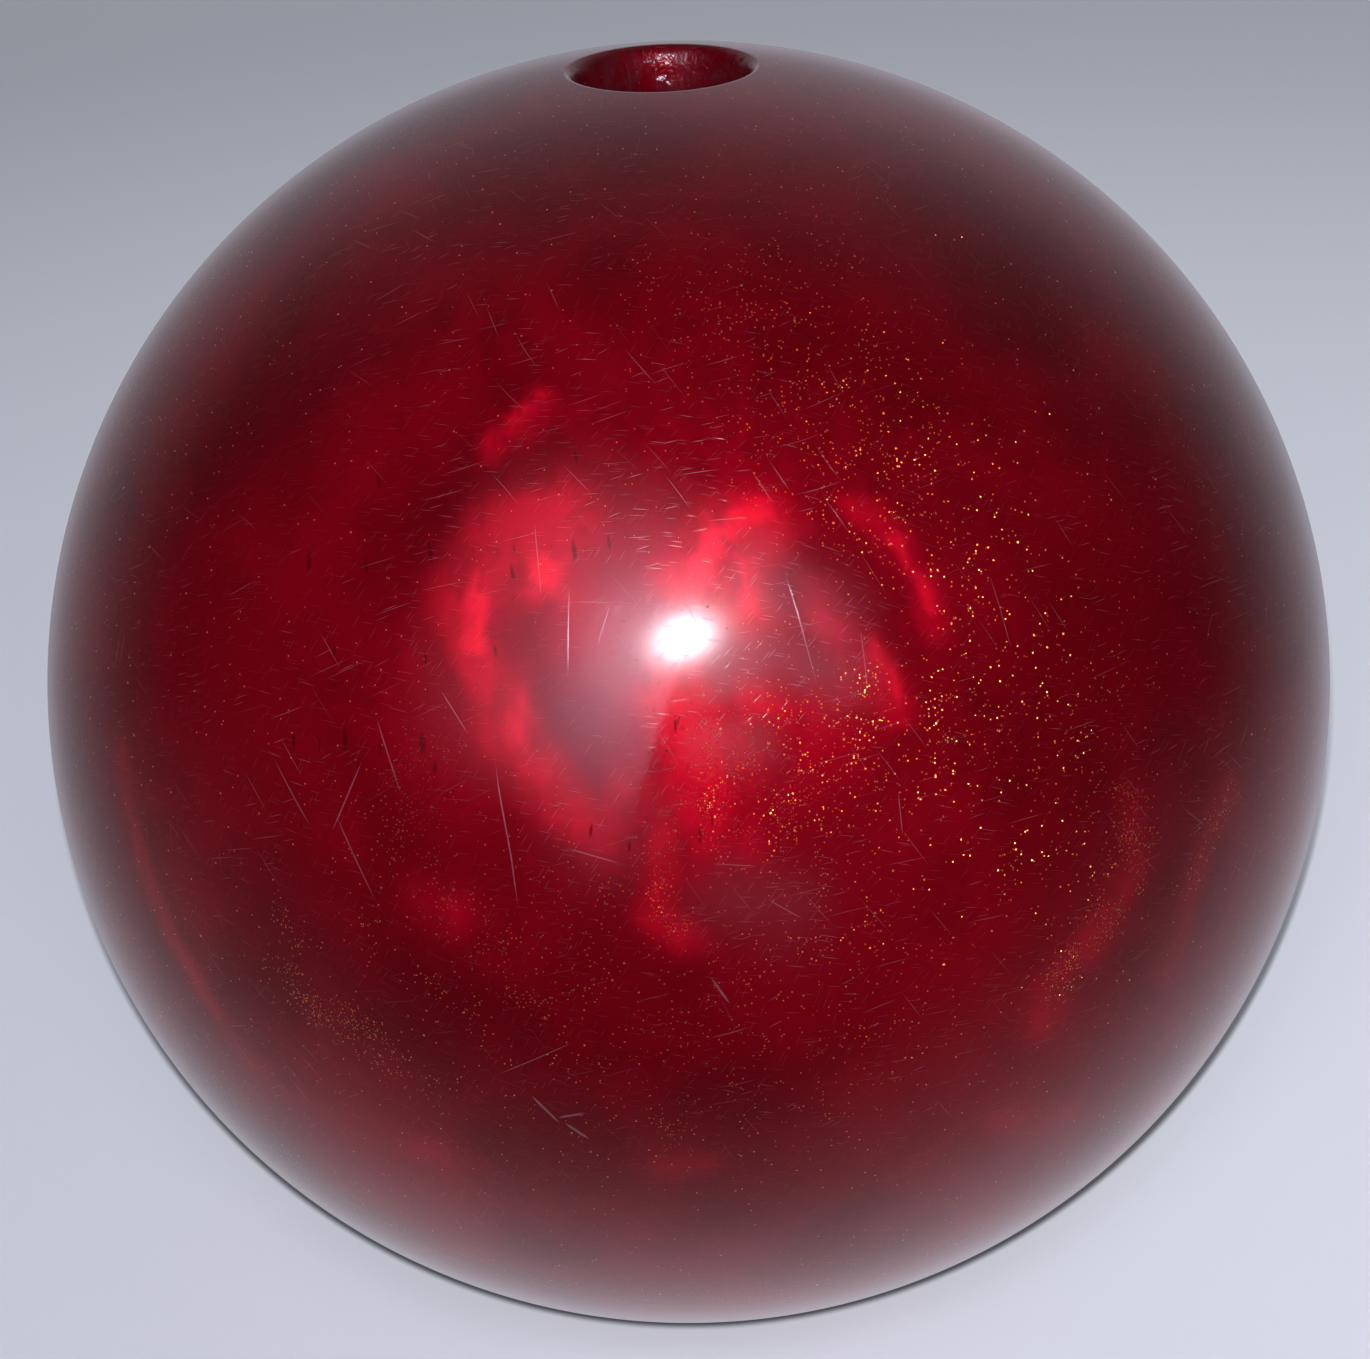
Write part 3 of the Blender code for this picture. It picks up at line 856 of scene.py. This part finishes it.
def make_insert(name, offset, steps=288, lip_parts=8):
    lip = INSERT_LIP_RADIUS
    foot = FINGER_SURFACE - INSERT_LENGTH
    rings = []

    def ring(radius, height, ripple=None):
        rings.append(circle(FINGER_AXIS, offset, radius, height, steps, ripple))

    def groove(share):
        return lambda t: share * GROOVE_DEPTH * (0.5 + 0.5 * math.cos(INSERT_GROOVES * t))

    chamfer = 0.0002
    ring(INSERT_RADIUS - chamfer, lambda s: s)
    ring(INSERT_RADIUS, lambda s: s - chamfer)
    for k in range(1, 7):
        ring(INSERT_RADIUS, lambda s, k=k: s + (foot - s) * k / 6)
    ring(INSERT_BORE_RADIUS, foot, groove(1.0))
    for k in range(5, -1, -1):
        share = min(1.0, (6 - k) / 6 * 4) if k else 0.0
        deep = 0.004 if k == 0 else 0.004
        ring(INSERT_BORE_RADIUS,
             lambda s, k=k: s - 0.004 + (foot - s + 0.004) * k / 6, groove(1.0))
    ring(INSERT_BORE_RADIUS, lambda s: s - 0.0025, groove(0.5))
    for k in range(lip_parts + 1):
        t = math.pi / 2 * k / lip_parts
        ring(INSERT_BORE_RADIUS + lip * (1 - math.cos(t)), lambda s, t=t: s - lip * (1 - math.sin(t)))
    obj = ring_mesh(name, rings, closed=True)
    polish(obj)
    return obj


def make_pin_piece(steps=128):
    rings = [[PIN_AXIS * BALL_RADIUS]]
    for k in range(1, 7):
        rings.append(circle(PIN_AXIS, 0.0, (PIN_RADIUS - 0.0001) * k / 6, lambda s: s, steps))
    rings.append(circle(PIN_AXIS, 0.0, PIN_RADIUS, lambda s: s - 0.0001, steps))
    for k in range(1, 9):
        rings.append(circle(PIN_AXIS, 0.0, PIN_RADIUS, lambda s, k=k: s + (PIN_FOOT - s) * k / 8, steps))
    rings.append([PIN_AXIS * PIN_FOOT])
    obj = ring_mesh("locator_pin", rings)
    polish(obj)
    return obj


def finish_piece(obj, material, node=None):
    obj.data.materials.clear()
    obj.data.materials.append(material)
    if node:
        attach(obj, "root")
        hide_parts(node)


def make_floor():
    size = 4.0
    mesh = bpy.data.meshes.new("floor")
    low = -BALL_RADIUS
    mesh.from_pydata(
        [(-size, -size, low), (size, -size, low), (size, size, low), (-size, size, low)],
        [],
        [(0, 1, 2, 3)],
    )
    floor = link("floor", mesh)
    # the ball reflects the smooth surround instead
    floor.visible_glossy = False
    mesh.materials.append(make_floor_material())


# ---------------------------------------------------------------- light and camera


def make_light(name, size, place, radiance, colour=(1, 1, 1), roll=0.0, spread=180.0):
    """A soft light aimed at the ball, of a radiance in watts per square metre and steradian."""
    data = bpy.data.lights.new(name, "AREA")
    data.shape = "RECTANGLE"
    data.size, data.size_y = size
    data.energy = radiance * math.pi * size[0] * size[1]
    data.color = colour
    data.spread = math.radians(spread)
    lamp = bpy.data.objects.new(name, data)
    bpy.context.scene.collection.objects.link(lamp)
    lamp.location = place
    turn = (-place).to_track_quat("-Z", "Y").to_matrix()
    lamp.rotation_euler = (turn @ Matrix.Rotation(roll, 3, "Z")).to_euler()
    lamp.visible_camera = False
    return lamp


class LightNodes(Nodes):
    """A light's node tree; side and height go from -1 to 1 over the light's face."""

    def __init__(self, lamp):
        lamp.data.use_nodes = True
        self.tree = lamp.data.node_tree
        self.face = self.add("ShaderNodeNewGeometry").outputs["Parametric"]
        parts = self.add("ShaderNodeSeparateXYZ")
        self.put(parts.inputs[0], self.face)
        self.side = self.math("MULTIPLY_ADD", parts.outputs[0], 2.0, -1.0)
        self.height = self.math("MULTIPLY_ADD", parts.outputs[1], 2.0, -1.0)

    def glow(self, strength):
        self.put(self.tree.nodes["Emission"].inputs["Strength"], strength)


def make_key():
    """A round light with a hot middle and a glow round it, just above the camera."""
    lamp = make_light("key", (KEY_SIZE, KEY_SIZE), on_ball(*KEY_PLACE) * KEY_DISTANCE, 1.0,
                      KEY_COLOUR, math.radians(20))
    n = LightNodes(lamp)
    tall = n.math("MULTIPLY", n.height, KEY_FLATNESS)
    squares = n.math("ADD", n.math("MULTIPLY", n.side, n.side), n.math("MULTIPLY", tall, tall))
    off = n.math("MULTIPLY", n.math("SQRT", squares), KEY_SIZE / 2)
    glow = n.math("EXPONENT", n.math("MULTIPLY", off, -1 / KEY_GLOW_WIDTH))
    glow = n.math("MULTIPLY", glow, n.span(off, KEY_SIZE / 2, KEY_SIZE / 2.6))
    core = n.math("MULTIPLY", squares, -((KEY_SIZE / 2 / KEY_CORE_WIDTH) ** 2))
    core = n.math("MULTIPLY", n.math("EXPONENT", core), KEY_CORE)
    n.glow(n.math("MULTIPLY_ADD", glow, KEY_GLOW, core))


def make_panel():
    """A panel left of the camera, with a sharp right edge and soft other edges."""
    lamp = make_light("panel", PANEL_SIZE, on_ball(*PANEL_PLACE), PANEL_RADIANCE,
                      PANEL_COLOUR, math.radians(PANEL_ROLL))
    n = LightNodes(lamp)
    sideways = n.span(n.side, -1.0, 0.9)
    up = n.math("MULTIPLY", n.span(n.height, 1.0, 0.10), n.span(n.height, -1.0, -0.3))
    # brighter where it shows beside the highlight
    off = n.vector("MULTIPLY", n.join(n.math("SUBTRACT", n.side, 0.55), n.height), (3.0, 2.6, 0.0))
    near = n.math("EXPONENT", n.math("MULTIPLY", n.vector("DOT_PRODUCT", off, off), -1.0))
    soft = n.math("MULTIPLY", sideways, up)
    n.glow(n.math("MULTIPLY", soft, n.math("MULTIPLY_ADD", near, 1.5, 1.0)))


def make_back():
    """A small light behind the ball, for its far side."""
    lamp = make_light("back", (0.16, 0.16), Vector((0.0, math.cos(BACK_HEIGHT), math.sin(BACK_HEIGHT))),
                      BACK_RADIANCE, (1.0, 0.98, 0.96))
    n = LightNodes(lamp)
    squares = n.math("ADD", n.math("MULTIPLY", n.side, n.side), n.math("MULTIPLY", n.height, n.height))
    n.glow(n.span(squares, 1.0, 0.1))


KEY_PLACE = (-0.6, 6.0)
KEY_DISTANCE = 0.40
KEY_SIZE = 0.24
KEY_COLOUR = (1.0, 0.95, 1.04)
KEY_FLATNESS = 1.45
KEY_CORE = 54.0
KEY_CORE_WIDTH = 0.025
KEY_GLOW = 33.0
KEY_GLOW_WIDTH = 0.024
PANEL_COLOUR = (0.96, 0.82, 1.10)
PANEL_PLACE = (-23.0, 10.0)
PANEL_SIZE = (0.84, 1.20)
PANEL_ROLL = -5
PANEL_RADIANCE = 2.2
BACK_HEIGHT = math.radians(16)
BACK_RADIANCE = 0.4


def make_lights():
    make_key()
    make_panel()
    make_back()


class WorldNodes(Nodes):
    """The world's node tree; place is the direction that light comes from."""

    def __init__(self, world):
        world.use_nodes = True
        self.tree = world.node_tree
        self.tree.nodes.clear()
        self.place = self.add("ShaderNodeTexCoord").outputs["Generated"]

    def background(self, colour, strength=1.0):
        node = self.add("ShaderNodeBackground")
        self.put(node.inputs["Color"], (*colour, 1.0))
        self.put(node.inputs["Strength"], strength)
        return node.outputs[0]


def make_world():
    """Plain grey where the camera sees it; as light, a soft surround that is dark in front."""
    world = bpy.data.worlds.new("studio")
    bpy.context.scene.world = world
    n = WorldNodes(world)
    away = n.vector("DOT_PRODUCT", n.place, tuple(-TO_CAMERA))
    side = n.vector("DOT_PRODUCT", n.place, tuple(ROLLED_RIGHT))
    up = n.vector("DOT_PRODUCT", n.place, tuple(ROLLED_UP))
    rise = n.span(away, -0.5, 0.5)
    around = n.math("MULTIPLY", n.span(away, 0.05, 1.05, 0.0, 0.5), n.span(away, 1.0, 0.85, 0.6, 1.0))
    below = n.math("MULTIPLY", n.math("MAXIMUM", n.math("MULTIPLY", up, -0.54), 0.0), rise)
    above = n.math("MULTIPLY", n.math("POWER", n.math("MAXIMUM", up, 0.0), 3.0), rise)
    above = n.math("MULTIPLY", above, n.span(away, 0.9, 0.5, 0.0, 0.36))
    total = n.math("ADD", n.math("ADD", around, below), above)
    total = n.math("MULTIPLY", total, n.math("MULTIPLY_ADD", side, 0.18, 1.0))
    mix = n.add("ShaderNodeMixShader")
    n.put(mix.inputs[0], n.add("ShaderNodeLightPath").outputs["Is Camera Ray"])
    n.put(mix.inputs[1], n.background((0.94, 0.93, 1.06), total))
    n.put(mix.inputs[2], n.background((0.34, 0.36, 0.41)))
    n.put(n.add("ShaderNodeOutputWorld").inputs["Surface"], mix.outputs[0])


def make_camera():
    data = bpy.data.cameras.new("camera")
    data.lens = CAMERA_LENS
    data.sensor_width = 36.0
    data.clip_start = 0.01
    camera = bpy.data.objects.new("camera", data)
    bpy.context.scene.collection.objects.link(camera)
    place = TO_CAMERA * CAMERA_DISTANCE + ROLLED_RIGHT * CAMERA_AIM[0] + ROLLED_UP * CAMERA_AIM[1]
    turn = Matrix((ROLLED_RIGHT, ROLLED_UP, TO_CAMERA)).transposed()
    camera.matrix_world = Matrix.Translation(place) @ turn.to_4x4()
    bpy.context.scene.camera = camera


make_camera()
make_lights()
make_world()
make_floor()
finish_piece(make_shell(), make_pearl(), "coverstock")
vinyl = make_vinyl()
finish_piece(make_insert("finger_insert_middle", -FINGER_OFFSET), vinyl,
             "middle_finger_insert")
finish_piece(make_insert("finger_insert_ring", FINGER_OFFSET), vinyl,
             "ring_finger_insert")
finish_piece(make_pin_piece(), make_pin(), "core_pin")
for node, material in (("outer_core", make_filler()), ("weight_block", make_dense())):
    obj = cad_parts[node]
    obj.data.materials.clear()
    obj.data.materials.append(material)
bpy.context.scene.view_settings.view_transform = "Standard"
